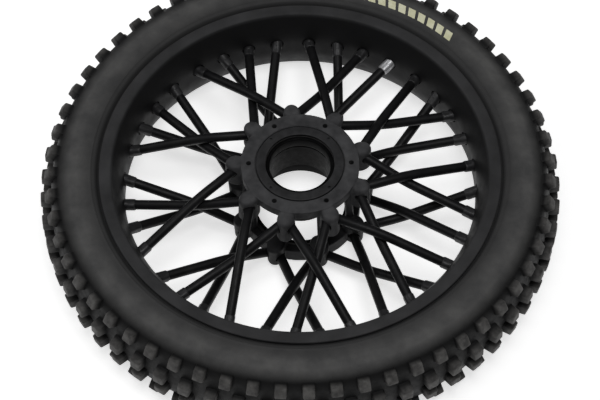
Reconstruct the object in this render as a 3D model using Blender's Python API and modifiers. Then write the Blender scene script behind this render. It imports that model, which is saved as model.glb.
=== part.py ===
"""Laced front wheel of a quarter-scale motocross motorcycle, lying flat.

The axle line is the world's Z axis and the wheel's centre is the origin. A knobbly tyre on a foam insert
sits on a drop-centre rim. Thirty-six spokes, laced one-cross, join the rim to nine lugs on each
side of an open cage hub, and a thin ball bearing runs in each end of the hub.
"""
import math

import bmesh
import bpy
from mathutils import Matrix, Vector

MM = 0.001
FULL_TURN = 2 * math.pi

# Driving dimensions
TYRE_RADIUS = 86.0 * MM
RIM_LIP_RADIUS = 61.9 * MM
RIM_HALF_WIDTH = 13.8 * MM
RIM_BED_RADIUS = 58.4 * MM
HUB_HALF_LENGTH = 14.4 * MM
FIT_GAP = 0.3 * MM

# Tyre
TREAD_PITCHES = 60
TYRE_STEPS = 2 * TREAD_PITCHES
CASING_RADIUS = 82.6 * MM
KNOB_HEIGHT = TYRE_RADIUS - CASING_RADIUS
SHOULDER_KNOB_RISE = 1.4 * MM
KNOB_TAPER = 0.84
SHOULDER_KNOB_SHARE = 0.8
SHOULDER_EDGE = (79.0 * MM, 13.4 * MM)
SHOULDER_FOOT = (81.4 * MM, 9.4 * MM)
CROWN_EDGE = (82.2 * MM, 6.2 * MM)
CROWN_FOOT = (CASING_RADIUS, 1.3 * MM)

# Lacing: nine lugs a side, each holding a spoke that leans forward and a spoke that leans back
LUGS_PER_SIDE = 9
LUG_PITCH = FULL_TURN / LUGS_PER_SIDE
UPPER_LUG_ANGLE = math.radians(17.1)
LOWER_LUG_ANGLE = math.radians(7.2)
SPOKE_SWEEP = math.radians(29.7)
LUG_RADIUS_FROM_AXLE = 20.2 * MM
LUG_RADIUS = 3.1 * MM
LUG_TIP_RADIUS = 2.8 * MM
LUG_STRETCH = 1.25
LUG_MIDDLE_FROM_AXLE = 20.9 * MM
LUG_TOP = 14.0 * MM
LUG_BOTTOM = 3.8 * MM
SPOKE_RADIUS = 1.6 * MM
SPOKE_SIDES = 6
SOCKET_RADIUS = SPOKE_RADIUS + FIT_GAP
SOCKET_START = 1.7 * MM
SOCKET_LENGTH = 4.0 * MM
SPOKE_START = 1.9 * MM
UPPER_SPOKE_HEIGHT = 10.8 * MM
LOWER_SPOKE_HEIGHT = -10.2 * MM
RIM_END_HEIGHT = 1.6 * MM
CROSSING_SHARE = 0.41
CROSSING_BOW = 1.7 * MM
NIPPLE_BED_RADIUS = 58.9 * MM
NIPPLE_RADIUS = 1.9 * MM
NIPPLE_HEAD_RADIUS = 2.4 * MM
NIPPLE_HOLE_RADIUS = 2.3 * MM
NIPPLE_HOLE_REACH = 2.5 * MM
NIPPLE_HOLE_LENGTH = 6.0 * MM
NIPPLE_INSIDE = 4.2 * MM
NIPPLE_OUTSIDE = 2.9 * MM
NIPPLE_HEAD_DEPTH = 0.4 * MM
NIPPLE_TAPER = 0.4 * MM

# Hub
RING_RADIUS = 19.4 * MM
POSTS = 9
POST_ANGLE = math.radians(12.1)
POST_RADIUS = 1.4 * MM
POST_FOOT = (18.8 * MM, -9.0 * MM)
POST_HEAD = (17.4 * MM, 12.0 * MM)
DISC_HOLES = 6
DISC_HOLE_CIRCLE = 16.8 * MM
DISC_HOLE_RADIUS = 0.85 * MM
DISC_HOLE_DEPTH = 5.0 * MM
SPANNER_HOLES = 4
SPANNER_HOLE_CIRCLE = 13.4 * MM
SPANNER_HOLE_RADIUS = 0.5 * MM
SPANNER_HOLE_FLOOR = 13.8 * MM
BOSS_BOTTOM = -3.0 * MM
RETAINER_RADIUS = 14.4 * MM
RETAINER_TOP = 14.3 * MM
RETAINER_BORE = 11.3 * MM
BOSS_BORE = 10.4 * MM

# Bearings: bore radius, outer radius, width, height of the middle, ball radius and number of balls
UPPER_BEARING = {"bore": 10.0 * MM, "outer": 13.5 * MM, "width": 4.0 * MM, "middle": 11.2 * MM,
                 "ball": 0.95 * MM, "balls": 9}
LOWER_BEARING = {"bore": 15.0 * MM, "outer": 18.5 * MM, "width": 4.0 * MM, "middle": -11.6 * MM,
                 "ball": 0.95 * MM, "balls": 12}
RUNNING_CLEARANCE = 0.09 * MM

RACE_LAND_SHARE = 0.62
GROOVE_EDGE_SHARE = 0.8
GROOVE_FLOOR_SHARE = 0.35
SEAL_INSET = 0.1 * MM
SEAL_THICKNESS = 0.3 * MM
SEAL_GAP = 0.2 * MM
CAGE_HALF_THICKNESS = 0.22 * MM
CAGE_HALF_HEIGHT = 0.4 * MM

# Lower bearing's seat, the groove of its circlip and the circlip's own gap
SEAT_FLOOR = -9.3 * MM
CIRCLIP_GROOVE = (-13.7 * MM, -14.2 * MM)
CIRCLIP_GROOVE_DEPTH = 0.6 * MM
CIRCLIP_HEIGHTS = (-13.75 * MM, -14.15 * MM)
CIRCLIP_GAP_ANGLE = math.radians(4)

# Facets
SMALL_HOLE_SIDES = 6
POST_SIDES = 6
LUG_SIDES = 8
BEARING_STEPS = 36
HUB_STEPS = 36
RIM_STEPS = 60
INSERT_STEPS = 48

# Slot: colour, roughness, metallic
MATERIALS = {
    "tyre_rubber": ((0.030, 0.030, 0.031), 0.72, 0.0),
    "foam": ((0.16, 0.16, 0.17), 0.95, 0.0),
    "band_rubber": ((0.045, 0.045, 0.045), 0.80, 0.0),
    "rim_black": ((0.018, 0.018, 0.019), 0.42, 0.0),
    "hub_black": ((0.026, 0.026, 0.027), 0.45, 0.0),
    "spoke_black": ((0.020, 0.020, 0.021), 0.40, 0.3),
    "race_steel": ((0.10, 0.10, 0.11), 0.32, 1.0),
    "ball_steel": ((0.55, 0.55, 0.57), 0.20, 1.0),
    "seal_rubber": ((0.030, 0.028, 0.028), 0.60, 0.0),
    "retainer_black": ((0.022, 0.022, 0.023), 0.38, 0.2),
    "clip_steel": ((0.12, 0.12, 0.13), 0.35, 1.0),
}


def clear_scene():
    for item in list(bpy.data.objects):
        bpy.data.objects.remove(item, do_unlink=True)


def new_collection(name):
    collection = bpy.data.collections.new(name)
    bpy.context.scene.collection.children.link(collection)
    return collection


def make_materials():
    for name, (colour, roughness, metallic) in MATERIALS.items():
        material = bpy.data.materials.new(name)
        material.use_nodes = True
        shader = material.node_tree.nodes["Principled BSDF"]
        shader.inputs["Base Color"].default_value = (*colour, 1.0)
        shader.inputs["Roughness"].default_value = roughness
        shader.inputs["Metallic"].default_value = metallic


def add_node(name, mesh, slot):
    """Put a mesh in the wheel as a named piece with its material."""
    node = bpy.data.objects.new(name, mesh)
    mesh.materials.append(bpy.data.materials[slot])
    bpy.data.collections["spoked_wheel"].objects.link(node)
    return node


def add_tool(name, mesh):
    """Put a mesh among the tools: solids that are joined to a piece or cut from it."""
    tool = bpy.data.objects.new(name, mesh)
    tool.hide_render = True
    tool.display_type = "WIRE"
    bpy.data.collections["tools"].objects.link(tool)
    return tool


def finish_mesh(name, bm):
    mesh = bpy.data.meshes.new(name)
    bm.to_mesh(mesh)
    bm.free()
    return mesh


def outline_mesh(name, outlines):
    """Draw outlines in the XZ plane. Each runs down its outer side; one that starts off the axle closes."""
    bm = bmesh.new()
    for outline in outlines:
        points = [bm.verts.new((radius, 0, z)) for radius, z in outline]
        ends = points[1:]
        if outline[0][0] > 0:
            ends.append(points[0])
        for first, second in zip(points, ends):
            bm.edges.new((first, second))
    return finish_mesh(name, bm)


def turn(obj, steps):
    screw = obj.modifiers.new("turn", "SCREW")
    screw.axis = "Z"
    screw.angle = FULL_TURN
    screw.steps = steps
    screw.render_steps = steps
    screw.use_merge_vertices = True
    screw.merge_threshold = 0.001 * MM
    return obj


def turned_node(name, outlines, steps, slot):
    return turn(add_node(name, outline_mesh(name, outlines), slot), steps)


def boolean(obj, operation, tool):
    modifier = obj.modifiers.new(tool.name, "BOOLEAN")
    modifier.operation = operation
    modifier.solver = "EXACT"
    modifier.object = tool


def in_millimetres(outline):
    return [(radius * MM, z * MM) for radius, z in outline]


def both_halves(upper):
    """Complete an outline whose lower half mirrors its upper half."""
    return upper + [(radius, -z) for radius, z in reversed(upper)]


def on_circle(radius, angle, z):
    return Vector((radius * math.cos(angle), radius * math.sin(angle), z))


def cylinders(name, placements, radius, length, sides, end_radius=None):
    """Make one tool of many cylinders, each running from its placement's origin along its Z axis."""
    bm = bmesh.new()
    for placement in placements:
        bmesh.ops.create_cone(bm, cap_ends=True, segments=sides, depth=length, radius1=radius,
                              radius2=end_radius or radius,
                              matrix=placement @ Matrix.Translation((0, 0, length / 2)))
    return add_tool(name, finish_mesh(name, bm))


def along(start, direction):
    """Placement at a point, with its Z axis along a direction."""
    return Matrix.Translation(start) @ direction.to_track_quat("Z", "Y").to_matrix().to_4x4()


# ---- Lacing ----

def spoke_path(side, lug, lean):
    """Lug centre, crossing and rim end of one spoke. side and lean are +1 or -1.

    Each spoke crosses one neighbour of its own side, and both bow apart there to pass each other.
    """
    lug_angle = (UPPER_LUG_ANGLE if side > 0 else LOWER_LUG_ANGLE) + lug * LUG_PITCH
    start = on_circle(LUG_RADIUS_FROM_AXLE, lug_angle, UPPER_SPOKE_HEIGHT if side > 0 else LOWER_SPOKE_HEIGHT)
    end = on_circle(NIPPLE_BED_RADIUS, lug_angle + lean * SPOKE_SWEEP, RIM_END_HEIGHT)
    crossing = start.lerp(end, CROSSING_SHARE) + Vector((0, 0, side * lean * CROSSING_BOW))
    return start, crossing, end


def all_spokes():
    """Every spoke's name and path, side by side and lug by lug."""
    spokes = []
    for side, side_name in ((1, "upper"), (-1, "lower")):
        for lug in range(LUGS_PER_SIDE):
            for lean, lean_name in ((1, "forward"), (-1, "back")):
                name = f"spoke_{side_name}_{lug + 1}_{lean_name}"
                spokes.append((name, *spoke_path(side, lug, lean)))
    return spokes


def rod_mesh(name, stations, sides):
    """Closed rod through stations of centre, direction and radius."""
    bm = bmesh.new()
    rings = []
    for centre, direction, radius in stations:
        across = direction.cross(Vector((0, 0, 1))).normalized()
        upward = across.cross(direction)
        angles = [FULL_TURN * i / sides for i in range(sides)]
        rings.append([bm.verts.new(centre + (across * math.cos(a) + upward * math.sin(a)) * radius)
                      for a in angles])
    for first, second in zip(rings, rings[1:]):
        for i in range(sides):
            bm.faces.new((first[i], first[i - 1], second[i - 1], second[i]))
    bm.faces.new(rings[0])
    bm.faces.new(rings[-1])
    bmesh.ops.recalc_face_normals(bm, faces=bm.faces)
    return finish_mesh(name, bm)


def make_spokes():
    """Each spoke is one piece with its nipple, whose head stands in the rim's well."""
    for name, start, crossing, end in all_spokes():
        leaving = (crossing - start).normalized()
        arriving = (end - crossing).normalized()
        stations = [(start + leaving * SPOKE_START, leaving, SPOKE_RADIUS),
                    (crossing, (leaving + arriving).normalized(), SPOKE_RADIUS)]
        profile = [(-NIPPLE_INSIDE - NIPPLE_TAPER, SPOKE_RADIUS), (-NIPPLE_INSIDE, NIPPLE_RADIUS),
                   (NIPPLE_OUTSIDE - NIPPLE_HEAD_DEPTH - NIPPLE_TAPER, NIPPLE_RADIUS),
                   (NIPPLE_OUTSIDE - NIPPLE_HEAD_DEPTH, NIPPLE_HEAD_RADIUS),
                   (NIPPLE_OUTSIDE, NIPPLE_HEAD_RADIUS)]
        stations += [(end + arriving * offset, arriving, radius) for offset, radius in profile]
        add_node(name, rod_mesh(name, stations, SPOKE_SIDES), "spoke_black")


# ---- Tyre, insert and rim ----

def make_tyre():
    """Casing with two rows of shoulder knobs and two rows of crown knobs, half a pitch apart."""
    sidewall = in_millimetres([(64.6, 9.2), (64.6, 12.3), (66.2, 12.4), (66.7, 14.0), (72.0, 15.0)])
    outer = sidewall + [SHOULDER_EDGE, SHOULDER_FOOT, CROWN_EDGE, CROWN_FOOT]
    inner = in_millimetres([(67.4, 9.2), (71.8, 12.2), (79.0, 9.0)])
    outline = both_halves(outer) + list(reversed(both_halves(inner)))
    bm = bmesh.new()
    points = [bm.verts.new((radius, 0, z)) for radius, z in outline]
    edges = [bm.edges.new(pair) for pair in zip(points, points[1:] + points[:1])]
    bmesh.ops.spin(bm, geom=points + edges, cent=(0, 0, 0), axis=(0, 0, 1), angle=FULL_TURN,
                   steps=TYRE_STEPS, use_merge=True)
    bmesh.ops.remove_doubles(bm, verts=bm.verts, dist=0.001 * MM)
    bmesh.ops.recalc_face_normals(bm, faces=bm.faces)
    raise_knobs(bm)
    add_node("tyre", finish_mesh("tyre", bm), "tyre_rubber")


def knob_direction(face):
    """Way a knob grows out of a casing face, or None where the casing stays bare."""
    centre = face.calc_center_median()
    radius = math.hypot(centre.x, centre.y)
    step = int((math.atan2(centre.y, centre.x) % FULL_TURN) / (FULL_TURN / TYRE_STEPS))
    outward = Vector((centre.x, centre.y, 0)).normalized()
    height = abs(centre.z)
    if radius < SHOULDER_EDGE[0]:
        return None
    if SHOULDER_FOOT[1] < height < SHOULDER_EDGE[1] and step % 2 == 0:
        rise = Vector((0, 0, math.copysign(SHOULDER_KNOB_RISE, centre.z)))
        return outward * KNOB_HEIGHT * SHOULDER_KNOB_SHARE + rise
    if CROWN_FOOT[1] < height < CROWN_EDGE[1] and step % 2 == 1:
        return outward * KNOB_HEIGHT
    return None


def raise_knobs(bm):
    knob_faces = [face for face in bm.faces if knob_direction(face)]
    growth = [knob_direction(face) for face in knob_faces]
    tops = bmesh.ops.extrude_discrete_faces(bm, faces=knob_faces)["faces"]
    for top, direction in zip(tops, growth):
        centre = top.calc_center_median()
        for vert in top.verts:
            vert.co = centre + (vert.co - centre) * KNOB_TAPER + direction


def make_foam_insert():
    outer = in_millimetres([(71.9, 11.7), (78.6, 8.6)])
    inner = in_millimetres([(67.6, 8.6), (64.9, 8.4)])
    outline = both_halves(outer) + list(reversed(both_halves(inner)))
    turned_node("foam_insert", [outline], INSERT_STEPS, "foam")


def make_rim():
    """Drop-centre rim: flanges, bead seats, a well pierced by the nipples, and a vee towards the hub."""
    outer = [(65.8 * MM, RIM_HALF_WIDTH), (65.8 * MM, 12.6 * MM), (64.3 * MM, 12.6 * MM),
             (64.3 * MM, 7.7 * MM), (60.2 * MM, 6.6 * MM)]
    inner = [(RIM_LIP_RADIUS, RIM_HALF_WIDTH), (59.7 * MM, 8.8 * MM), (RIM_BED_RADIUS, 4.2 * MM)]
    outline = both_halves(outer) + list(reversed(both_halves(inner)))
    rim = turned_node("rim", [outline], RIM_STEPS, "rim_black")
    holes = []
    for _, _, crossing, end in all_spokes():
        arriving = (end - crossing).normalized()
        holes.append(along(end - arriving * NIPPLE_HOLE_REACH, arriving))
    cutters = cylinders("nipple_holes", holes, NIPPLE_HOLE_RADIUS, NIPPLE_HOLE_LENGTH, SPOKE_SIDES)
    boolean(rim, "DIFFERENCE", cutters)


def make_rim_band():
    outer = in_millimetres([(64.5, 7.0)])
    inner = in_millimetres([(64.1, 7.0)])
    outline = both_halves(outer) + list(reversed(both_halves(inner)))
    turned_node("rim_band", [outline], INSERT_STEPS, "band_rubber")


# ---- Hub ----

def make_hub():
    """Upper boss and lower ring, joined by lugs and posts into one open cage."""
    seat = UPPER_BEARING["outer"] + FIT_GAP
    boss = [(RING_RADIUS, HUB_HALF_LENGTH), (RING_RADIUS, 10.8 * MM), (15.6 * MM, 8.2 * MM),
            (13.0 * MM, 4.0 * MM), (11.8 * MM, BOSS_BOTTOM), (BOSS_BORE, BOSS_BOTTOM),
            (BOSS_BORE, 8.2 * MM), (12.6 * MM, 8.2 * MM), (12.6 * MM, 8.9 * MM), (seat, 8.9 * MM),
            (seat, 13.2 * MM), (RETAINER_RADIUS + FIT_GAP, 13.2 * MM),
            (RETAINER_RADIUS + FIT_GAP, HUB_HALF_LENGTH)]
    ring = in_millimetres([(20.2, -8.5), (20.2, -14.4), (17.5, -14.4), (17.5, -8.5)])
    hub = turned_node("hub", [boss, ring], HUB_STEPS, "hub_black")
    boolean(hub, "UNION", hub_posts())
    boolean(hub, "UNION", hub_lugs())
    boolean(hub, "DIFFERENCE", lower_bearing_seat())
    sockets = []
    for _, start, crossing, _ in all_spokes():
        leaving = (crossing - start).normalized()
        sockets.append(along(start + leaving * SOCKET_START, leaving))
    boolean(hub, "DIFFERENCE", cylinders("spoke_sockets", sockets, SOCKET_RADIUS, SOCKET_LENGTH, SPOKE_SIDES))
    disc_holes = [Matrix.Translation(on_circle(DISC_HOLE_CIRCLE, FULL_TURN * i / DISC_HOLES,
                                               HUB_HALF_LENGTH - DISC_HOLE_DEPTH))
                  for i in range(DISC_HOLES)]
    boolean(hub, "DIFFERENCE", cylinders("disc_holes", disc_holes, DISC_HOLE_RADIUS, 2 * DISC_HOLE_DEPTH,
                                         SMALL_HOLE_SIDES))


def lower_bearing_seat():
    """Room for the lower bearing and, below it, the groove of its circlip."""
    seat = LOWER_BEARING["outer"] + FIT_GAP
    groove = seat + CIRCLIP_GROOVE_DEPTH
    groove_top, groove_bottom = CIRCLIP_GROOVE
    outline = [(0, SEAT_FLOOR), (seat, SEAT_FLOOR), (seat, groove_top), (groove, groove_top),
               (groove, groove_bottom), (seat, groove_bottom), (seat, -16.0 * MM), (0, -16.0 * MM)]
    return turn(add_tool("lower_bearing_seat", outline_mesh("lower_bearing_seat", [outline])), HUB_STEPS)


def hub_posts():
    posts = []
    for i in range(POSTS):
        angle = POST_ANGLE + FULL_TURN * i / POSTS
        foot = on_circle(POST_FOOT[0], angle, POST_FOOT[1])
        head = on_circle(POST_HEAD[0], angle, POST_HEAD[1])
        posts.append(along(foot, (head - foot).normalized()))
    return cylinders("hub_posts", posts, POST_RADIUS, POST_HEAD[1] - POST_FOOT[1], POST_SIDES)


def hub_lugs():
    """Oval lugs, long in the radial direction, each with its thick end towards the middle of the hub."""
    lugs = []
    for first, turn_over in ((UPPER_LUG_ANGLE, 0), (LOWER_LUG_ANGLE, math.pi)):
        for i in range(LUGS_PER_SIDE):
            angle = first + i * LUG_PITCH
            base = on_circle(LUG_MIDDLE_FROM_AXLE, angle, LUG_BOTTOM if turn_over == 0 else -LUG_BOTTOM)
            lugs.append(Matrix.Translation(base) @ Matrix.Rotation(angle, 4, "Z")
                        @ Matrix.Rotation(turn_over, 4, "X") @ Matrix.Diagonal((LUG_STRETCH, 1, 1, 1)))
    return cylinders("hub_lugs", lugs, LUG_RADIUS, LUG_TOP - LUG_BOTTOM, LUG_SIDES,
                     end_radius=LUG_TIP_RADIUS)


def make_upper_retainer():
    """Threaded ring that holds the upper bearing, with four holes for a pin spanner."""
    outline = [(RETAINER_RADIUS, RETAINER_TOP), (RETAINER_RADIUS, 13.5 * MM), (12.6 * MM, 13.5 * MM),
               (12.6 * MM, 13.9 * MM), (RETAINER_BORE, 13.9 * MM), (RETAINER_BORE, RETAINER_TOP)]
    retainer = turned_node("upper_bearing_retainer", [outline], BEARING_STEPS, "retainer_black")
    angles = [FULL_TURN * (i + 0.5) / SPANNER_HOLES for i in range(SPANNER_HOLES)]
    holes = [Matrix.Translation(on_circle(SPANNER_HOLE_CIRCLE, angle, SPANNER_HOLE_FLOOR))
             for angle in angles]
    boolean(retainer, "DIFFERENCE", cylinders("spanner_holes", holes, SPANNER_HOLE_RADIUS,
                                              2 * (RETAINER_TOP - SPANNER_HOLE_FLOOR), SMALL_HOLE_SIDES))


def make_lower_circlip():
    """Snap ring in the lower ring's groove, open over a short gap."""
    seat = LOWER_BEARING["outer"] + FIT_GAP
    top, bottom = CIRCLIP_HEIGHTS
    outer, inner = seat + 0.35 * MM, seat - 1.3 * MM
    outline = [(outer, top), (outer, bottom), (inner, bottom), (inner, top)]
    clip = turned_node("lower_bearing_circlip", [outline], BEARING_STEPS, "clip_steel")
    gap = [along(on_circle(16.5 * MM, CIRCLIP_GAP_ANGLE, -14.0 * MM), on_circle(1, CIRCLIP_GAP_ANGLE, 0))]
    boolean(clip, "DIFFERENCE", cylinders("circlip_gap", gap, 1.6 * MM, 4.0 * MM, 8))


# ---- Bearings ----

def make_bearing(prefix, sizes):
    """Two grooved races, the balls in their cage and a seal on each face."""
    pitch = (sizes["bore"] + sizes["outer"]) / 2
    ball = sizes["ball"]
    half = sizes["width"] / 2
    middle = sizes["middle"]
    land = RACE_LAND_SHARE * ball
    groove = ball + RUNNING_CLEARANCE
    edge = GROOVE_EDGE_SHARE * ball
    floor = GROOVE_FLOOR_SHARE * ball
    levels = [middle + level for level in (half, edge, floor, -floor, -edge, -half)]
    depths = [land, land, groove, groove, land, land]
    inner_track = [(pitch - depth, z) for depth, z in zip(depths, levels)]
    outer_track = [(pitch + depth, z) for depth, z in zip(depths, levels)]
    top, bottom = levels[0], levels[-1]
    inner_race = inner_track + [(sizes["bore"], bottom), (sizes["bore"], top)]
    outer_race = [(sizes["outer"], top), (sizes["outer"], bottom)] + list(reversed(outer_track))
    turned_node(f"{prefix}_inner_race", [inner_race], BEARING_STEPS, "race_steel")
    turned_node(f"{prefix}_outer_race", [outer_race], BEARING_STEPS, "race_steel")
    make_balls(f"{prefix}_balls", sizes, pitch)
    seal_inner = pitch - land + RUNNING_CLEARANCE
    seal_outer = pitch + land - SEAL_GAP
    for face, sign in (("top", 1), ("bottom", -1)):
        outside = middle + sign * (half - SEAL_INSET)
        inside = outside - sign * SEAL_THICKNESS
        high, low = max(outside, inside), min(outside, inside)
        seal = [(seal_outer, high), (seal_outer, low), (seal_inner, low), (seal_inner, high)]
        turned_node(f"{prefix}_seal_{face}", [seal], BEARING_STEPS, "seal_rubber")


def make_balls(name, sizes, pitch):
    """The cage is a thin ring through the balls, so that they go round as one piece."""
    middle = sizes["middle"]
    outer, inner = pitch + CAGE_HALF_THICKNESS, pitch - CAGE_HALF_THICKNESS
    top, bottom = middle + CAGE_HALF_HEIGHT, middle - CAGE_HALF_HEIGHT
    cage = [(outer, top), (outer, bottom), (inner, bottom), (inner, top)]
    node = turned_node(name, [cage], BEARING_STEPS, "ball_steel")
    bm = bmesh.new()
    for i in range(sizes["balls"]):
        place = Matrix.Translation(on_circle(pitch, FULL_TURN * (i + 0.5) / sizes["balls"], middle))
        bmesh.ops.create_uvsphere(bm, u_segments=6, v_segments=4, radius=sizes["ball"], matrix=place)
    boolean(node, "UNION", add_tool(f"{name}_spheres", finish_mesh(name, bm)))


def main():
    clear_scene()
    new_collection("spoked_wheel")
    new_collection("tools")
    make_materials()
    make_tyre()
    make_foam_insert()
    make_rim()
    make_rim_band()
    make_hub()
    make_spokes()
    make_bearing("upper_bearing", UPPER_BEARING)
    make_bearing("lower_bearing", LOWER_BEARING)
    make_upper_retainer()
    make_lower_circlip()


main()
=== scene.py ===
"""Looks of the quarter-scale motocross wheel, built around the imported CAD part.

Every CAD node is replaced by a finer piece of the same place and size: a knobbly tyre with rounded knobs,
a smooth rim, round spokes with separate nipples, a cast hub with machined bores, and finished bearings.
"""

import math

import bmesh
import bpy
from mathutils import Matrix, Vector


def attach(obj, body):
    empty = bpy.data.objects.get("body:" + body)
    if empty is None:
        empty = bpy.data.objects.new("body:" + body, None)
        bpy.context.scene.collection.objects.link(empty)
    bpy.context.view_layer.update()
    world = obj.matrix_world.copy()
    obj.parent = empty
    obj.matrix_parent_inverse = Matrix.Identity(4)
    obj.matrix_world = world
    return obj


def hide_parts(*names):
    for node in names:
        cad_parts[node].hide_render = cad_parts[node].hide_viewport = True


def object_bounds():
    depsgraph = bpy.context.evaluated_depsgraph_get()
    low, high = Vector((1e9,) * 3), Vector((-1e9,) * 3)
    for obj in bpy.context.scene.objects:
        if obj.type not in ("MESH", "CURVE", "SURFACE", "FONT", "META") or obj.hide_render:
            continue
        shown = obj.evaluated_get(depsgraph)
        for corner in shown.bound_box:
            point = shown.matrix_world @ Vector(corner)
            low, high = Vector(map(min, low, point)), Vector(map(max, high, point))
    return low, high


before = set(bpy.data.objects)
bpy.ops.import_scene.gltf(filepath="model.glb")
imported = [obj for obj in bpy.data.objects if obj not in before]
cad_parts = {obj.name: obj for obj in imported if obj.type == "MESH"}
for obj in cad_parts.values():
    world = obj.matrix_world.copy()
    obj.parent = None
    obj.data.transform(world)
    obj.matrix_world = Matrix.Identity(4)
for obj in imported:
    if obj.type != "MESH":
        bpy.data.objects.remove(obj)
cad_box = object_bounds()

MM = 0.001
FULL_TURN = 2 * math.pi
UP = Vector((0, 0, 1))

# Sizes shared with the CAD part, in millimetres
TYRE_RADIUS = 86.0
TREAD_PITCHES = 60
KNOB_STEP = FULL_TURN / (2 * TREAD_PITCHES)
KNOB_TAPER = 0.84
KNOB_HEIGHT = 3.4
SHOULDER_KNOB_GROWTH = (0.8 * KNOB_HEIGHT, 1.4)
CROWN_KNOB_GROWTH = (KNOB_HEIGHT, 0.0)
SHOULDER_KNOB_FOOT = ((79.0, 13.4), (81.4, 9.4))
CROWN_KNOB_FOOT = ((82.2, 6.2), (82.6, 1.3))
# Radius, width and height of each fine rib
SIDEWALL_RIBS = ((72.9, 0.22, 0.10), (68.4, 0.30, 0.28), (78.3, 0.25, 0.16))

LUGS = 9
LUG_PITCH = FULL_TURN / LUGS
FIRST_LUG = {"upper": math.radians(17.1), "lower": math.radians(7.2)}
SIDES = {"upper": 1, "lower": -1}
SPOKE_SWEEP = math.radians(29.7)
LUG_CENTRE_RADIUS = 20.2
LUG_MIDDLE_RADIUS = 20.9
LUG_STRETCH = 1.25
LUG_FOOT = 3.8
SPOKE_RADIUS = 1.6
SPOKE_START = 1.9
SPOKE_BEND = 4.5
SOCKET_START = 1.7
SOCKET_LENGTH = 4.0
HUB_END_HEIGHTS = {"upper": 10.8, "lower": -10.2}
RIM_END_HEIGHT = 1.6
CROSSING_SHARE = 0.41
CROSSING_BOW = 1.7
LEANS = {"forward": 1, "back": -1}
NIPPLE_BED_RADIUS = 58.9
NIPPLE_RADIUS = 1.9
NIPPLE_HEAD_RADIUS = 2.4
NIPPLE_FLAT = 1.68
PALE_NIPPLE = "lower_3_back"  # the one nipple drawn in pale steel instead of black
NIPPLE_HOLE_RADIUS = 2.3
NIPPLE_HOLE_REACH = 2.5
NIPPLE_HOLE_LENGTH = 6.0
SOCKET_RADIUS = 1.9

# A post's foot and head are (radius, height)
POST_ANGLE = math.radians(12.1)
POST_RADIUS = 1.4
POST_FOOT = (18.8, -9.0)
POST_HEAD = (17.4, 12.0)
DISC_HOLES = 6
DISC_HOLE_CIRCLE = 16.8
DISC_HOLE_RADIUS = 0.85
DISC_HOLE_FLOOR = 9.4
SPANNER_HOLES = 4
SPANNER_HOLE_CIRCLE = 13.4
SPANNER_HOLE_FLOOR = 13.8

# Steps round each turned outline
HUB_STEPS = 96
BORE_STEPS = 144
RING_STEPS = 128
TYRE_STEPS = 240

BEARINGS = {
    "upper": {"bore": 10.0, "outer": 13.5, "width": 4.0, "middle": 11.2, "ball": 0.95, "balls": 9},
    "lower": {"bore": 15.0, "outer": 18.5, "width": 4.0, "middle": -11.6, "ball": 0.95, "balls": 12},
}


# ---- Mesh helpers: outlines are (radius, height) pairs in millimetres ----

def finish_mesh(name, bm, sharp_degrees=40):
    bmesh.ops.recalc_face_normals(bm, faces=bm.faces)
    mesh = bpy.data.meshes.new(name)
    bm.to_mesh(mesh)
    bm.free()
    mesh.shade_smooth()
    mesh.set_sharp_from_angle(angle=math.radians(sharp_degrees))
    return mesh


def rounded(points, radius, steps=4):
    """Round every corner of a closed outline, as far as its neighbours leave room."""
    result = []
    count = len(points)
    for i, point in enumerate(points):
        corner = Vector(point[:2])
        before = Vector(points[i - 1][:2]) - corner
        after = Vector(points[(i + 1) % count][:2]) - corner
        wanted = point[2] if len(point) > 2 else radius
        reach = min(wanted, 0.45 * before.length, 0.45 * after.length)
        start = corner + before.normalized() * reach
        end = corner + after.normalized() * reach
        for step in range(steps + 1):
            t = step / steps
            result.append(tuple(start * (1 - t) ** 2 + corner * 2 * t * (1 - t) + end * t ** 2))
    return result


def mirrored(half):
    """Complete an outline whose lower half mirrors its upper half."""
    return half + [(point[0], -point[1], *point[2:]) for point in reversed(half)]


def lathe(outline, steps):
    """Closed ring: the outline turned round the Z axis."""
    bm = bmesh.new()
    rings = []
    for i in range(steps):
        angle = FULL_TURN * i / steps
        c, s = math.cos(angle) * MM, math.sin(angle) * MM
        rings.append([bm.verts.new((r * c, r * s, z * MM)) for r, z in outline])
    for i in range(steps):
        a, b = rings[i], rings[(i + 1) % steps]
        for j in range(len(outline)):
            k = (j + 1) % len(outline)
            bm.faces.new((a[j], b[j], b[k], a[k]))
    return bm


def spindle(outline, steps, shape=None):
    """Closed solid: the outline turned round the Z axis, with a pole at each end."""
    bm = bmesh.new()
    rings = []
    for r, z in outline[1:-1]:
        ring = []
        for i in range(steps):
            angle = FULL_TURN * i / steps
            x, y = r * math.cos(angle), r * math.sin(angle)
            if shape:
                x, y = shape(x, y, z)
            ring.append(bm.verts.new((x * MM, y * MM, z * MM)))
        rings.append(ring)
    ends = [bm.verts.new((0, 0, outline[0][1] * MM)), bm.verts.new((0, 0, outline[-1][1] * MM))]
    for i in range(steps):
        k = (i + 1) % steps
        bm.faces.new((ends[0], rings[0][i], rings[0][k]))
        bm.faces.new((ends[1], rings[-1][k], rings[-1][i]))
        for a, b in zip(rings, rings[1:]):
            bm.faces.new((a[i], b[i], b[k], a[k]))
    return bm


def add_to(bm, other, matrix=None):
    """Copy one bmesh's shape into another and free it."""
    mesh = bpy.data.meshes.new("part")
    other.to_mesh(mesh)
    other.free()
    if matrix:
        mesh.transform(matrix)
    bm.from_mesh(mesh)
    bpy.data.meshes.remove(mesh)


def on_circle(radius, angle, z=0.0):
    """Point in metres, from millimetres and radians."""
    return Vector((radius * math.cos(angle), radius * math.sin(angle), z)) * MM


def along(start, direction):
    return Matrix.Translation(start) @ direction.to_track_quat("Z", "Y").to_matrix().to_4x4()


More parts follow.
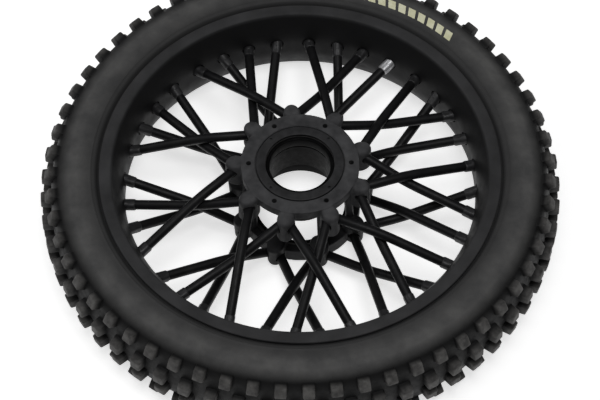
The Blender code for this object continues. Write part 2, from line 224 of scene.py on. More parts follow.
def temporary(name, bm):
    bmesh.ops.recalc_face_normals(bm, faces=bm.faces)
    mesh = bpy.data.meshes.new(name)
    bm.to_mesh(mesh)
    bm.free()
    obj = bpy.data.objects.new(name, mesh)
    bpy.context.scene.collection.objects.link(obj)
    return obj


def applied_mesh(obj):
    """The object's mesh with its modifiers applied. The object goes."""
    depsgraph = bpy.context.evaluated_depsgraph_get()
    mesh = bpy.data.meshes.new_from_object(obj.evaluated_get(depsgraph), depsgraph=depsgraph)
    bpy.data.objects.remove(obj, do_unlink=True)
    return mesh


def cut(name, mesh, tool_bm, sharp_degrees=35):
    """Subtract a tool from a mesh and return the finished mesh."""
    obj = bpy.data.objects.new(name, mesh)
    bpy.context.scene.collection.objects.link(obj)
    tool = temporary(name + "_tool", tool_bm)
    modifier = obj.modifiers.new("cut", "BOOLEAN")
    modifier.operation = "DIFFERENCE"
    modifier.solver = "MANIFOLD"
    modifier.object = tool
    result = applied_mesh(obj)
    bpy.data.objects.remove(tool, do_unlink=True)
    result.shade_smooth()
    result.set_sharp_from_angle(angle=math.radians(sharp_degrees))
    return result


def cylinder_tool(bm, placement, radius, length, sides=24):
    bmesh.ops.create_cone(bm, cap_ends=True, segments=sides, radius1=radius * MM, radius2=radius * MM,
                          depth=length * MM, matrix=placement @ Matrix.Translation((0, 0, length * MM / 2)))


def add_piece(name, mesh, slot, replaces=(), body="wheel", material=None):
    """Put a mesh in the scene as a piece that rides on a body and stands for CAD nodes."""
    piece = bpy.data.objects.new(name, mesh)
    bpy.context.scene.collection.objects.link(piece)
    mesh.materials.clear()
    mesh.materials.append(looks[material or slot])
    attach(piece, body)
    if replaces:
        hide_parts(*replaces)
    return piece


# ---- Materials ----

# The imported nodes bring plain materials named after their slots, so the finishes have names of their own
looks = {}


def ramp(nodes, links, source, low, high, colours):
    node = nodes.new("ShaderNodeValToRGB")
    node.color_ramp.elements[0].position = low
    node.color_ramp.elements[1].position = high
    for element, colour in zip(node.color_ramp.elements, colours):
        element.color = (*colour, 1)
    links.new(source, node.inputs["Fac"])
    return node


def noise(nodes, links, coordinates, scale, detail=5.0, roughness=0.55):
    node = nodes.new("ShaderNodeTexNoise")
    node.inputs["Scale"].default_value = scale
    node.inputs["Detail"].default_value = detail
    node.inputs["Roughness"].default_value = roughness
    links.new(coordinates, node.inputs["Vector"])
    return node


def mix(nodes, links, factor, first, second):
    """Blend from the first colour to the second. Each is a socket or a plain colour."""
    node = nodes.new("ShaderNodeMix")
    node.data_type = "RGBA"
    links.new(factor, node.inputs["Factor"])
    for socket, colour in (("A", first), ("B", second)):
        if isinstance(colour, tuple):
            node.inputs[socket].default_value = (*colour, 1)
        else:
            links.new(colour, node.inputs[socket])
    return node.outputs["Result"]


def principled(material):
    return next(node for node in material.node_tree.nodes if node.type == "BSDF_PRINCIPLED")


def finish(name, dark, light, roughness, metallic=0.0, mottle=160.0, grain=2200.0, depth=0.05,
           specular=0.5, scratches=0.0):
    """Plastic, paint, rubber or metal: blotched colour, uneven gloss, fine grain and faint scratches."""
    material = bpy.data.materials.new(f"{name}_finish")
    looks[name] = material
    material.use_nodes = True
    nodes, links = material.node_tree.nodes, material.node_tree.links
    nodes.clear()
    output = nodes.new("ShaderNodeOutputMaterial")
    shader = nodes.new("ShaderNodeBsdfPrincipled")
    links.new(shader.outputs["BSDF"], output.inputs["Surface"])
    shader.inputs["Metallic"].default_value = metallic
    shader.inputs["Specular IOR Level"].default_value = specular
    where = nodes.new("ShaderNodeTexCoord").outputs["Object"]
    blotches = noise(nodes, links, where, mottle)
    colour = ramp(nodes, links, blotches.outputs["Fac"], 0.32, 0.70, (dark, light))
    links.new(colour.outputs["Color"], shader.inputs["Base Color"])
    gloss = nodes.new("ShaderNodeMapRange")
    gloss.inputs["From Min"].default_value = 0.3
    gloss.inputs["From Max"].default_value = 0.7
    gloss.inputs["To Min"].default_value = roughness[0]
    gloss.inputs["To Max"].default_value = roughness[1]
    links.new(noise(nodes, links, where, mottle * 2.7, 8.0).outputs["Fac"], gloss.inputs["Value"])
    links.new(gloss.outputs["Result"], shader.inputs["Roughness"])
    fine = nodes.new("ShaderNodeBump")
    fine.inputs["Strength"].default_value = 0.6
    fine.inputs["Distance"].default_value = depth * MM
    links.new(noise(nodes, links, where, grain, 3.0).outputs["Fac"], fine.inputs["Height"])
    if scratches:
        stretch = nodes.new("ShaderNodeMapping")
        stretch.inputs["Rotation"].default_value = (0.4, 0.7, 0.5)
        stretch.inputs["Scale"].default_value = (1.0, 14.0, 14.0)
        links.new(where, stretch.inputs["Vector"])
        lines = nodes.new("ShaderNodeBump")
        lines.inputs["Strength"].default_value = scratches
        lines.inputs["Distance"].default_value = 0.04 * MM
        links.new(noise(nodes, links, stretch.outputs["Vector"], 240.0, 4.0).outputs["Fac"],
                  lines.inputs["Height"])
        links.new(fine.outputs["Normal"], lines.inputs["Normal"])
        links.new(lines.outputs["Normal"], shader.inputs["Normal"])
    else:
        links.new(fine.outputs["Normal"], shader.inputs["Normal"])
    return material


def map_range(nodes, links, value, low, high, clamp=True):
    """0 at the low value and 1 at the high one."""
    node = nodes.new("ShaderNodeMapRange")
    node.clamp = clamp
    node.inputs["From Min"].default_value = low
    node.inputs["From Max"].default_value = high
    links.new(value, node.inputs["Value"])
    return node.outputs["Result"]


def vector_length(nodes, links, vector):
    node = nodes.new("ShaderNodeVectorMath")
    node.operation = "LENGTH"
    links.new(vector, node.inputs[0])
    return node.outputs["Value"]


def distance_from_axle(nodes, links):
    flatten = nodes.new("ShaderNodeVectorMath")
    flatten.operation = "MULTIPLY"
    flatten.inputs[1].default_value = (1, 1, 0)
    links.new(nodes.new("ShaderNodeTexCoord").outputs["Object"], flatten.inputs[0])
    return vector_length(nodes, links, flatten.outputs["Vector"])


def height_on_axle(nodes, links):
    parts = nodes.new("ShaderNodeSeparateXYZ")
    links.new(nodes.new("ShaderNodeTexCoord").outputs["Object"], parts.inputs[0])
    return parts.outputs["Z"]


def radius_mask(nodes, links, inner, outer):
    """0 inside the inner radius and 1 outside the outer one, measured from the axle."""
    return map_range(nodes, links, distance_from_axle(nodes, links), inner * MM, outer * MM)


def height_mask(nodes, links, low, high):
    """0 below the lower height and 1 above the upper one, along the axle."""
    return map_range(nodes, links, height_on_axle(nodes, links), low * MM, high * MM)


def height_over_casing(nodes, links):
    """0 on the tyre's casing between the knobs and 1 on the knobs' tops.

    The casing is nearly an ellipse about the middle of the tyre's section, and the knobs end on a larger one.
    """
    centre, half_depth, half_width, foot, top = 66.0, 16.6, 21.5, 1.05, 1.15
    depth = map_range(nodes, links, distance_from_axle(nodes, links),
                      centre * MM, (centre + half_depth) * MM, clamp=False)
    height = map_range(nodes, links, height_on_axle(nodes, links), 0, half_width * MM, clamp=False)
    section = nodes.new("ShaderNodeCombineXYZ")
    links.new(depth, section.inputs["X"])
    links.new(height, section.inputs["Y"])
    return map_range(nodes, links, vector_length(nodes, links, section.outputs["Vector"]), foot, top)


def tyre_finish(name):
    """Rubber whose sidewall is paler than the tread between the knobs: a painted highlight band on the
    sidewall, painted shade between the knobs, and knob tops lighter from scuffs and a painted highlight.
    """
    material = finish(name, (0.068, 0.068, 0.0685), (0.114, 0.113, 0.111), (0.48, 0.68),
                      mottle=150.0, grain=1700.0, depth=0.10, specular=0.12)
    nodes, links = material.node_tree.nodes, material.node_tree.links
    base = principled(material).inputs["Base Color"]
    # Painted highlight: the sidewall is darker at the bead and brightens out to 73 mm, where it stands
    # highest.
    bead = (0.036, 0.036, 0.0365)
    # Painted shade: the tread between the knobs is near black, and the sidewall colour fades into it from
    # 75.5 to 79.5 mm.
    painted_shade_between_knobs = (0.009, 0.009, 0.0093)
    # Knob tops: lighter from scuffs, with a painted highlight on the tops as well.
    knob_top_scuffs_and_painted_highlight = (0.105, 0.102, 0.099)
    sidewall = mix(nodes, links, radius_mask(nodes, links, 66.5, 73.0), bead, base.links[0].from_socket)
    tread = mix(nodes, links, radius_mask(nodes, links, 75.5, 79.5), sidewall, painted_shade_between_knobs)
    where = nodes.new("ShaderNodeTexCoord").outputs["Object"]
    patches = ramp(nodes, links, noise(nodes, links, where, 420.0, 6.0).outputs["Fac"], 0.34, 0.66,
                   ((0.35, 0.35, 0.35), (1.0, 1.0, 1.0)))
    tops = nodes.new("ShaderNodeMath")
    tops.operation = "MULTIPLY"
    links.new(height_over_casing(nodes, links), tops.inputs[0])
    links.new(patches.outputs["Color"], tops.inputs[1])
    links.new(mix(nodes, links, tops.outputs["Value"], tread, knob_top_scuffs_and_painted_highlight), base)


def shade_where(material, mask, low, high, colour):
    """Lay a plain colour over a finish where the mask is 0, fading out towards 1."""
    nodes, links = material.node_tree.nodes, material.node_tree.links
    base = principled(material).inputs["Base Color"]
    before = base.links[0].from_socket
    links.new(mix(nodes, links, mask(nodes, links, low, high), colour, before), base)


def make_materials():
    tyre_finish("tyre_rubber")
    finish("foam", (0.12, 0.12, 0.125), (0.20, 0.20, 0.21), (0.9, 1.0), mottle=900, grain=1400, depth=0.4)
    finish("band_rubber", (0.036, 0.036, 0.036), (0.050, 0.050, 0.050), (0.7, 0.85))
    rim = finish("rim_black", (0.034, 0.034, 0.035), (0.056, 0.056, 0.058), (0.44, 0.60), mottle=90,
                 grain=1500, depth=0.03, specular=0.08, scratches=0.25)
    # Painted shade: the rim's inner wall, inside 61.3 mm, is drawn much darker than the rest of the rim.
    shade_where(rim, radius_mask, 61.3, 62.0, (0.011, 0.011, 0.0115))
    hub = finish("hub_black", (0.040, 0.040, 0.042), (0.080, 0.080, 0.083), (0.40, 0.58), mottle=240,
                 grain=2600, depth=0.07, specular=0.07, scratches=0.2)
    # Painted shade: the hub darkens towards its lower end, fully below -12 mm and fading out by 9 mm.
    shade_where(hub, height_mask, -12.0, 9.0, (0.010, 0.010, 0.0105))
    # Painted shade: the hub is near black inside the bore, within 14 mm of the axle.
    shade_where(hub, radius_mask, 14.0, 14.6, (0.001, 0.001, 0.001))
    finish("spoke_black", (0.006, 0.006, 0.0065), (0.012, 0.012, 0.013), (0.36, 0.52), metallic=0.1,
           mottle=300, grain=2600, depth=0.03, specular=0.18, scratches=0.2)
    finish("nipple_black", (0.020, 0.020, 0.021), (0.038, 0.038, 0.040), (0.32, 0.48), metallic=0.2,
           mottle=500, grain=2600, depth=0.02, specular=0.30, scratches=0.3)
    finish("nipple_steel", (0.44, 0.44, 0.45), (0.54, 0.54, 0.56), (0.32, 0.46), metallic=0.6,
           mottle=500, grain=2600, depth=0.02, scratches=0.3)
    # Painted shade: the races are drawn near black with little gloss, as the bore around them is in shade.
    finish("race_steel", (0.002, 0.002, 0.0021), (0.005, 0.005, 0.0053), (0.36, 0.52),
           mottle=400, grain=3000, depth=0.01, specular=0.04, scratches=0.3)
    finish("ball_steel", (0.50, 0.50, 0.52), (0.58, 0.58, 0.60), (0.14, 0.22), metallic=1.0, mottle=500,
           grain=3000, depth=0.004)
    finish("seal_rubber", (0.022, 0.021, 0.021), (0.034, 0.032, 0.032), (0.5, 0.65), mottle=500)
    finish("retainer_black", (0.020, 0.020, 0.021), (0.038, 0.038, 0.040), (0.36, 0.52), metallic=0.1,
           mottle=400, grain=2600, depth=0.03, specular=0.2, scratches=0.35)
    finish("clip_steel", (0.07, 0.07, 0.075), (0.13, 0.13, 0.135), (0.30, 0.45), metallic=1.0, mottle=500,
           scratches=0.3)
    finish("marking_paint", (0.76, 0.74, 0.48), (0.92, 0.91, 0.68), (0.45, 0.60), mottle=350, grain=1700,
           depth=0.05)


# ---- Tyre ----

def casing_outline():
    """Outer skin from bead to bead, a smooth curve with three fine ribs, then the inner skin."""
    through = [(66.75, 13.6), (67.4, 14.25), (69.2, 14.62), (72.0, 14.9), (75.6, 14.55), (79.0, 13.4),
               (80.6, 11.6), (81.4, 9.4), (82.0, 6.9), (82.4, 4.0), (82.6, 0.0)]
    half = []
    for i in range(len(through) - 1):
        p0 = Vector(through[max(i - 1, 0)])
        p1, p2 = Vector(through[i]), Vector(through[i + 1])
        p3 = Vector(through[i + 2]) if i + 2 < len(through) else Vector((82.4, -4.0))
        for step in range(5):
            t = step / 5
            point = 0.5 * (2 * p1 + (p2 - p0) * t + (2 * p0 - 5 * p1 + 4 * p2 - p3) * t ** 2
                           + (3 * p1 - p0 - 3 * p2 + p3) * t ** 3)
            radius, z = point
            for rib_radius, rib_width, rib_height in SIDEWALL_RIBS:
                z += rib_height * math.exp(-((radius - rib_radius) / rib_width) ** 2)
            half.append((radius, z))
    bead = rounded([(64.6, 9.2), (64.6, 12.3), (66.2, 12.4), (66.75, 13.6), (90, 14)], 0.5, 3)
    bead = [(max(r, 64.6), z) for r, z in bead if r < 66.7]
    inner = [(67.4, 9.2), (71.8, 12.2), (76.0, 11.2), (79.0, 9.0), (79.8, 5.0), (80.0, 0.0)]
    upper = bead + half
    lower = [(r, -z) for r, z in reversed(upper)]
    back = [(r, -z) for r, z in inner] + [(r, z) for r, z in reversed(inner[:-1])]
    return upper + [(82.6, 0.0)] + lower + back


def knob(foot, growth):
    """One tread block of the upper half, on the first pitch: a tapered block with rounded edges."""
    (r_low, z_high), (r_high, z_low) = foot
    bm = bmesh.new()
    half_step = KNOB_STEP / 2
    corners = [(r_low, z_high, -1), (r_low, z_high, 1), (r_high, z_low, 1), (r_high, z_low, -1)]
    base = [on_circle(r, side * half_step, z) for r, z, side in corners]
    centre = sum(base, Vector()) / 4
    lift = Vector((growth[0], 0, growth[1])) * MM
    sunk = [centre + (point - centre) * 1.03 - lift * 0.28 for point in base]
    top = [centre + (point - centre) * KNOB_TAPER + lift for point in base]
    low = [bm.verts.new(point) for point in sunk]
    high = [bm.verts.new(point) for point in top]
    bm.faces.new(low)
    bm.faces.new(high)
    for i in range(4):
        bm.faces.new((low[i], low[(i + 1) % 4], high[(i + 1) % 4], high[i]))
    bmesh.ops.recalc_face_normals(bm, faces=bm.faces)
    soft = [edge for edge in bm.edges if any(vert in high for vert in edge.verts)]
    bmesh.ops.bevel(bm, geom=soft, offset=0.5 * MM, segments=3, profile=0.55, affect="EDGES",
                    clamp_overlap=True)
    return bm


def make_tyre():
    """Casing and four rows of knobs. The crown rows stand half a pitch from the shoulder rows."""
    bm = lathe(casing_outline(), TYRE_STEPS)
    for foot, growth, first in ((SHOULDER_KNOB_FOOT, SHOULDER_KNOB_GROWTH, 0.5),
                                (CROWN_KNOB_FOOT, CROWN_KNOB_GROWTH, 1.5)):
        block = knob(foot, growth)
        mesh = bpy.data.meshes.new("block")
        block.to_mesh(mesh)
        block.free()
        for pitch in range(TREAD_PITCHES):
            turn = Matrix.Rotation((2 * pitch + first) * KNOB_STEP, 4, "Z")
            for flip in (1, -1):
                copy = mesh.copy()
                copy.transform(turn @ Matrix.Diagonal((1, 1, flip, 1)))
                if flip < 0:
                    copy.flip_normals()
                bm.from_mesh(copy)
                bpy.data.meshes.remove(copy)
        bpy.data.meshes.remove(mesh)
    add_piece("knobbly_tyre", finish_mesh("knobbly_tyre", bm, 50), "tyre_rubber", ["tyre"])


def sidewall_height(radius, outline):
    """Height of the upper sidewall's skin at a radius."""
    for (r1, z1), (r2, z2) in zip(outline, outline[1:]):
        if z1 > 12 and z2 > 12 and r1 <= radius <= r2:
            return z1 + (z2 - z1) * (radius - r1) / (r2 - r1)
    raise ValueError("radius is off the sidewall")


def make_marking():
    """Plain slanted bars of pale paint on the upper sidewall."""
    outline = casing_outline()
    bm = bmesh.new()
    bars, pitch, width, slant = 12, math.radians(3.05), math.radians(2.15), math.radians(1.1)
    first = math.radians(43.6)
    rows, columns = 5, 4
    inner, outer = 70.7, 74.0
    for bar in range(bars):
        layers = []
        for proud in (-0.15, 0.10):
            grid = []
            for row in range(rows + 1):
                radius = inner + (outer - inner) * row / rows
                grid.append([bm.verts.new(on_circle(
                    radius, first + bar * pitch + width * column / columns + slant * row / rows,
                    sidewall_height(radius, outline) + proud)) for column in range(columns + 1)])
            for row in range(rows):
                for column in range(columns):
                    bm.faces.new((grid[row][column], grid[row][column + 1],
                                  grid[row + 1][column + 1], grid[row + 1][column]))
            layers.append(grid)
        low, high = layers
        ring = ([(0, c) for c in range(columns)] + [(r, columns) for r in range(rows)]
                + [(rows, c) for c in range(columns, 0, -1)] + [(r, 0) for r in range(rows, 0, -1)])
        for (r1, c1), (r2, c2) in zip(ring, ring[1:] + ring[:1]):
            bm.faces.new((low[r1][c1], low[r2][c2], high[r2][c2], high[r1][c1]))
    add_piece("sidewall_marking", finish_mesh("sidewall_marking", bm), "tyre_rubber",
              material="marking_paint")


def make_insert_and_band():
    """Foam ring that fills the tyre, and the band over the spokes' heads."""
    foam = rounded(mirrored([(71.9, 11.7, 1.2), (78.6, 8.6, 2.0)])
                   + list(reversed(mirrored([(67.6, 8.6, 0.8), (64.9, 8.4, 0.8)]))), 1.0)
    piece = add_piece("foam_ring", finish_mesh("foam_ring", lathe(foam, 160)), "foam", ["foam_insert"])
    band = rounded([(64.5, 7.0), (64.5, -7.0), (64.1, -7.0), (64.1, 7.0)], 0.15, 3)
    add_piece("spoke_head_band", finish_mesh("spoke_head_band", lathe(band, 160)), "band_rubber",
              ["rim_band"])


# ---- Rim and spokes ----

def spoke_paths():
    """CAD name, lug centre, crossing and rim end of every spoke. Two spokes that cross bow apart there."""
    paths = []
    for side, sign in SIDES.items():
        for lug in range(LUGS):
            for lean, lean_sign in LEANS.items():
                angle = FIRST_LUG[side] + lug * LUG_PITCH
                start = on_circle(LUG_CENTRE_RADIUS, angle, HUB_END_HEIGHTS[side])
                end = on_circle(NIPPLE_BED_RADIUS, angle + lean_sign * SPOKE_SWEEP, RIM_END_HEIGHT)
                crossing = start.lerp(end, CROSSING_SHARE) + UP * sign * lean_sign * CROSSING_BOW * MM
                paths.append((f"{side}_{lug + 1}_{lean}", start, crossing, end))
    return paths


def make_rim():
    """Drop-centre shell, drilled for the nipples."""
    outer = [(65.8, 13.8, 0.5), (65.8, 12.6, 0.3), (64.3, 12.6, 0.3), (64.3, 7.7, 0.8), (60.2, 6.6, 0.8)]
    inner = [(61.9, 13.8, 0.7), (59.7, 8.8, 2.6), (58.4, 4.2, 2.6)]
    outline = rounded(mirrored(outer) + list(reversed(mirrored(inner))), 0.5)
    holes = bmesh.new()
    for _, _, crossing, end in spoke_paths():
        arriving = (end - crossing).normalized()
        placement = along(end - arriving * NIPPLE_HOLE_REACH * MM, arriving)
        cylinder_tool(holes, placement, NIPPLE_HOLE_RADIUS, NIPPLE_HOLE_LENGTH)
    mesh = cut("rim_shell", finish_mesh("rim_blank", lathe(outline, TYRE_STEPS)), holes)
    add_piece("rim_shell", mesh, "rim_black", ["rim"])


def rod(stations, sides, section=None):
    """Closed rod through stations of centre and radius. A pole closes each end."""
    bm = bmesh.new()
    rings = []
    for i, (centre, radius) in enumerate(stations):
        before, after = stations[max(i - 1, 0)][0], stations[min(i + 1, len(stations) - 1)][0]
        direction = (after - before).normalized()
        across = direction.cross(UP).normalized()
        upward = across.cross(direction)
        ring = []
        for k in range(sides):
            x, y = radius * math.cos(FULL_TURN * k / sides), radius * math.sin(FULL_TURN * k / sides)
            if section:
                x, y = section(i, x, y)
            ring.append(bm.verts.new(centre + (across * x + upward * y) * MM))
        rings.append(ring)
    for first, second in zip(rings, rings[1:]):
        for k in range(sides):
            bm.faces.new((first[k - 1], first[k], second[k], second[k - 1]))
    bm.faces.new(rings[0])
    bm.faces.new(rings[-1])
    return bm


def wire_stations(start, crossing, end):
    """Centre line of a spoke: two straight runs joined by a soft bend over its crossing."""
    leaving, arriving = (crossing - start).normalized(), (end - crossing).normalized()
    bend = SPOKE_BEND * MM
    top = crossing + UP * math.copysign(0.22 * MM, (crossing - start.lerp(end, CROSSING_SHARE)).z)
    before, after = top - leaving * bend, top + arriving * bend
    first = start + leaving * SPOKE_START * MM
    stations = [(first, 1.15), (first + leaving * 0.12 * MM, 1.45),
                (first + leaving * 0.4 * MM, SPOKE_RADIUS)]
    for step in range(7):
        t = step / 6
        stations.append((before * (1 - t) ** 2 + top * 2 * t * (1 - t) + after * t ** 2, SPOKE_RADIUS))
    stations += [(end - arriving * 4.0 * MM, SPOKE_RADIUS), (end + arriving * 1.6 * MM, SPOKE_RADIUS),
                 (end + arriving * 1.9 * MM, 1.3)]
    return stations


def make_spokes():
    """Round spokes, and nipples with wrench flats whose domed heads stand in the rim's well."""
    for name, start, crossing, end in spoke_paths():
        piece = f"wire_{name}"
        add_piece(piece, finish_mesh(piece, rod(wire_stations(start, crossing, end), 20)), "spoke_black",
                  [f"spoke_{name}"])
        arriving = (end - crossing).normalized()
        outline = [(-4.2, 1.62), (-4.1, 1.74), (-3.8, NIPPLE_RADIUS), (-1.7, NIPPLE_RADIUS),
                   (-1.5, NIPPLE_RADIUS), (2.0, NIPPLE_RADIUS), (2.35, NIPPLE_HEAD_RADIUS),
                   (2.6, NIPPLE_HEAD_RADIUS), (2.8, 2.15), (2.9, 1.5)]

        def flats(station, x, y):
            if 2 <= station <= 3:
                return max(-NIPPLE_FLAT, min(NIPPLE_FLAT, x)), max(-NIPPLE_FLAT, min(NIPPLE_FLAT, y))
            return x, y

        stations = [(end + arriving * offset * MM, radius) for offset, radius in outline]
        piece = f"nipple_{name}"
        # One nipple is drawn in pale steel instead of black.
        pale = name == PALE_NIPPLE
        slot, material = ("ball_steel", "nipple_steel") if pale else ("spoke_black", "nipple_black")
        add_piece(piece, finish_mesh(piece, rod(stations, 24, flats)), slot, material=material)


# ---- Hub ----

def hub_blank():
    """Boss, ring, posts and lugs melted into one casting with small fillets."""
    boss = [(0, 14.4), (19.4, 14.4), (19.4, 10.8), (15.6, 8.2), (13.0, 4.0), (11.8, -3.0), (0, -3.0)]
    bm = spindle(boss, HUB_STEPS)
    add_to(bm, lathe([(20.2, -8.5), (20.2, -14.4), (17.5, -14.4), (17.5, -8.5)], HUB_STEPS))
    for i in range(LUGS):
        angle = POST_ANGLE + LUG_PITCH * i
        foot = on_circle(POST_FOOT[0], angle, POST_FOOT[1])
        head = on_circle(POST_HEAD[0], angle, POST_HEAD[1])
        placement = along(foot, (head - foot).normalized())
        cylinder_tool(bm, placement, POST_RADIUS, POST_HEAD[1] - POST_FOOT[1], 20)
    for side, sign in SIDES.items():
        for i in range(LUGS):
            angle = FIRST_LUG[side] + i * LUG_PITCH
            base = on_circle(LUG_MIDDLE_RADIUS, angle, sign * LUG_FOOT)
            lug = spindle([(0, 0), (2.2, 0), (2.8, 0.25), (3.1, 0.9), (2.85, 9.0), (2.5, 9.8), (1.9, 10.2),
                           (0, 10.2)], 32)
            turn_over = Matrix.Rotation(0 if sign > 0 else math.pi, 4, "X")
            add_to(bm, lug, Matrix.Translation(base) @ Matrix.Rotation(angle, 4, "Z") @ turn_over
                   @ Matrix.Diagonal((LUG_STRETCH, 1, 1, 1)))
    blank = temporary("hub_blank", bm)
    remesh = blank.modifiers.new("melt", "REMESH")
    remesh.mode = "VOXEL"
    remesh.voxel_size = 0.26 * MM
    soften = blank.modifiers.new("soften", "SMOOTH")
    soften.factor = 0.5
    soften.iterations = 4
    return applied_mesh(blank)


def make_hub():
    """The casting, then its machined bores, spoke sockets and blind disc holes."""
    upper_bore = [(0, 16.0), (15.1, 16.0), (15.1, 14.45), (14.7, 14.1), (14.7, 13.2), (13.8, 13.2),
                  (13.8, 8.9), (12.6, 8.9), (12.6, 8.2), (10.4, 8.2), (10.4, -2.6), (10.8, -3.0),
                  (10.8, -5.0), (0, -5.0)]
    lower_bore = [(0, -9.3), (18.8, -9.3), (18.8, -13.7), (19.4, -13.7), (19.4, -14.2), (18.8, -14.2),
                  (18.8, -16.0), (0, -16.0)]
    tools = spindle(upper_bore, BORE_STEPS)
    add_to(tools, spindle(lower_bore, BORE_STEPS))
    for _, start, crossing, _ in spoke_paths():
        leaving = (crossing - start).normalized()
        placement = along(start + leaving * SOCKET_START * MM, leaving)
        cylinder_tool(tools, placement, SOCKET_RADIUS, SOCKET_LENGTH)
    for i in range(DISC_HOLES):
        bottom = on_circle(DISC_HOLE_CIRCLE, FULL_TURN * i / DISC_HOLES, DISC_HOLE_FLOOR)
        cylinder_tool(tools, Matrix.Translation(bottom), DISC_HOLE_RADIUS, 10.0)
    add_piece("hub_casting", cut("hub_casting", hub_blank(), tools), "hub_black", ["hub"])


def make_retainer():
    """Threaded ring with four holes for a pin spanner."""
    outline = rounded([(14.4, 14.3, 0.25), (14.4, 13.5), (12.6, 13.5), (12.6, 13.9), (11.3, 13.9, 0.15),
                       (11.3, 14.3, 0.2)], 0.08, 3)
    holes = bmesh.new()
    for i in range(SPANNER_HOLES):
        bottom = on_circle(SPANNER_HOLE_CIRCLE, FULL_TURN * (i + 0.5) / SPANNER_HOLES, SPANNER_HOLE_FLOOR)
        cylinder_tool(holes, Matrix.Translation(bottom), 0.5, 1.0)
    mesh = cut("retainer_ring", finish_mesh("retainer_blank", lathe(outline, RING_STEPS)), holes)
    add_piece("retainer_ring", mesh, "retainer_black", ["upper_bearing_retainer"])


def make_snap_ring():
    """Flat ring, open over a gap, with a round ear on each side of it."""
    bottom, thickness, steps = -14.15, 0.4, 110
    outer_radius, inner_radius, ear_radius = 19.15, 17.6, 0.95
    gap_angle, half_gap, ear_reach = math.radians(4), math.radians(5.4), math.radians(6)
    plan = []
    for i in range(steps + 1):
        angle = gap_angle + half_gap + (FULL_TURN - 2 * half_gap) * i / steps
        plan.append(on_circle(outer_radius, angle, bottom))
    for sign in (-1, 1):
        ear_angle = gap_angle + sign * (half_gap + math.radians(2.6))
        centre = on_circle(17.75, ear_angle, bottom)
        turns = [ear_angle - sign * (math.pi / 2 + math.pi * k / 8) for k in range(9)]
        ear = [centre + on_circle(ear_radius, turn) for turn in turns]
        plan = plan + ear if sign < 0 else list(reversed(ear)) + plan
    for i in range(steps + 1):
        angle = gap_angle - half_gap - ear_reach - (FULL_TURN - 2 * (half_gap + ear_reach)) * i / steps
        plan.append(on_circle(inner_radius, angle, bottom))
    bm = bmesh.new()
    face = bm.faces.new([bm.verts.new(point) for point in plan])
    risen = bmesh.ops.extrude_face_region(bm, geom=[face])["geom"]
    bmesh.ops.translate(bm, vec=(0, 0, thickness * MM),
                        verts=[item for item in risen if isinstance(item, bmesh.types.BMVert)])
    add_piece("snap_ring", finish_mesh("snap_ring", bm), "clip_steel", ["lower_bearing_circlip"])


# ---- Bearings ----

def make_bearing(side, sizes):
    """Two grooved races, a seal on each face, and the balls in their cage."""
    pitch = (sizes["bore"] + sizes["outer"]) / 2
    ball, half, middle = sizes["ball"], sizes["width"] / 2, sizes["middle"]
    clearance = 0.09
    land, groove = 0.62 * ball, ball + clearance
    levels = [(land, half), (land, 0.8 * ball), (groove, 0.35 * ball), (groove, -0.35 * ball),
              (land, -0.8 * ball), (land, -half)]
    inner = ([(pitch - depth, middle + z) for depth, z in levels]
             + [(sizes["bore"], middle - half, 0.35), (sizes["bore"], middle + half, 0.35)])
    outer = ([(sizes["outer"], middle + half, 0.35), (sizes["outer"], middle - half, 0.35)]
             + [(pitch + depth, middle + z) for depth, z in reversed(levels)])
    for name, outline, body in (("inner_race", inner, "axle_core"), ("outer_race", outer, "wheel")):
        piece = f"{side}_{name}_ring"
        add_piece(piece, finish_mesh(piece, lathe(rounded(outline, 0.12, 3), RING_STEPS)), "race_steel",
                  [f"{side}_bearing_{name}"], body)
    for face, sign in (("top", 1), ("bottom", -1)):
        high, low = middle + sign * (half - 0.1), middle + sign * (half - 0.4)
        start, end = pitch - land + clearance, pitch + land - 0.2
        lip = [(end, high), (end, low), (start, low), (start, high), (start + 0.22, high),
               ((start + end) / 2, high - sign * 0.12)]
        piece = f"{side}_seal_{face}_shield"
        add_piece(piece, finish_mesh(piece, lathe(rounded(lip, 0.06, 3), RING_STEPS)), "seal_rubber",
                  [f"{side}_bearing_seal_{face}"])
    cage = [(pitch + 0.22, middle + 0.4), (pitch + 0.22, middle - 0.4), (pitch - 0.22, middle - 0.4),
            (pitch - 0.22, middle + 0.4)]
    bm = lathe(rounded(cage, 0.1, 3), RING_STEPS)
    for i in range(sizes["balls"]):
        place = Matrix.Translation(on_circle(pitch, FULL_TURN * i / sizes["balls"], middle))
        bmesh.ops.create_uvsphere(bm, u_segments=20, v_segments=12, radius=ball * MM, matrix=place)
    add_piece(f"{side}_ball_ring", finish_mesh(f"{side}_ball_ring", bm), "ball_steel",
              [f"{side}_bearing_balls"], f"{side}_ball_set")


# ---- Floor, light and camera ----

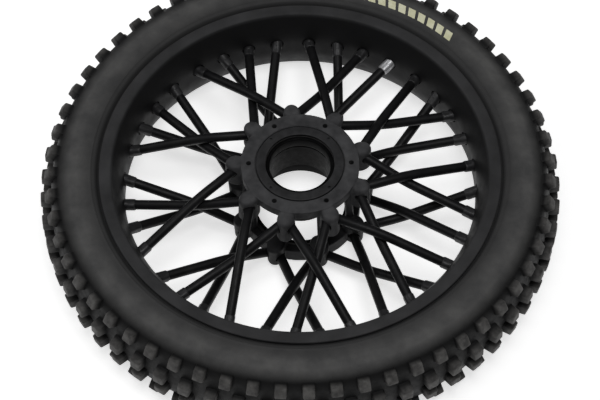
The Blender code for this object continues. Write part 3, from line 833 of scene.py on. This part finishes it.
def make_stage():
    """White floor that glows a little, a dim white world and two soft lights."""
    bpy.ops.mesh.primitive_plane_add(size=8, location=(0, 0, cad_box[0][2]))
    floor = bpy.context.object
    floor.name = "floor"
    white = finish("floor_white", (0.90, 0.90, 0.90), (0.92, 0.92, 0.92), (0.8, 0.9), mottle=6, grain=60,
                   depth=0.0)
    shader = principled(white)
    shader.inputs["Emission Color"].default_value = (1, 1, 1, 1)
    shader.inputs["Emission Strength"].default_value = 0.62
    floor.data.materials.append(white)

    world = bpy.data.worlds.new("studio")
    bpy.context.scene.world = world
    world.use_nodes = True
    nodes = world.node_tree.nodes
    background = nodes.get("Background") or nodes.new("ShaderNodeBackground")
    output = nodes.get("World Output") or nodes.new("ShaderNodeOutputWorld")
    world.node_tree.links.new(background.outputs["Background"], output.inputs["Surface"])
    background.inputs["Color"].default_value = (1.0, 1.0, 1.0, 1)
    background.inputs["Strength"].default_value = 0.16

    for name, place, size, power in (("overhead", (0.05, -0.15, 0.9), 0.45, 2.8),
                                     ("fill", (-0.7, 0.2, 0.7), 0.6, 1.5)):
        light = bpy.data.lights.new(name, "AREA")
        light.size = size
        light.energy = power
        lamp = bpy.data.objects.new(name, light)
        lamp.location = place
        lamp.rotation_euler = (-Vector(place)).to_track_quat("-Z", "Y").to_euler()
        bpy.context.scene.collection.objects.link(lamp)


def make_camera():
    """Seven wheel radii away, high above the floor, turned slightly about its own axis."""
    distance = 7 * TYRE_RADIUS * MM
    elevation = math.radians(57.5)
    roll = math.radians(-0.45)
    camera = bpy.data.cameras.new("camera")
    camera.lens = 108.36
    camera.sensor_width = 36
    camera.shift_x = -0.0003
    camera.shift_y = -0.0225
    holder = bpy.data.objects.new("camera", camera)
    holder.location = (0, -distance * math.cos(elevation), distance * math.sin(elevation))
    holder.rotation_euler = (Matrix.Rotation(math.pi / 2 - elevation, 3, "X")
                             @ Matrix.Rotation(roll, 3, "Z")).to_euler()
    bpy.context.scene.collection.objects.link(holder)
    bpy.context.scene.camera = holder
    bpy.context.scene.view_settings.view_transform = "Standard"


make_materials()
make_camera()
make_stage()
make_tyre()
make_marking()
make_insert_and_band()
make_rim()
make_spokes()
make_hub()
make_retainer()
make_snap_ring()
for bearing_side, bearing_sizes in BEARINGS.items():
    make_bearing(bearing_side, bearing_sizes)
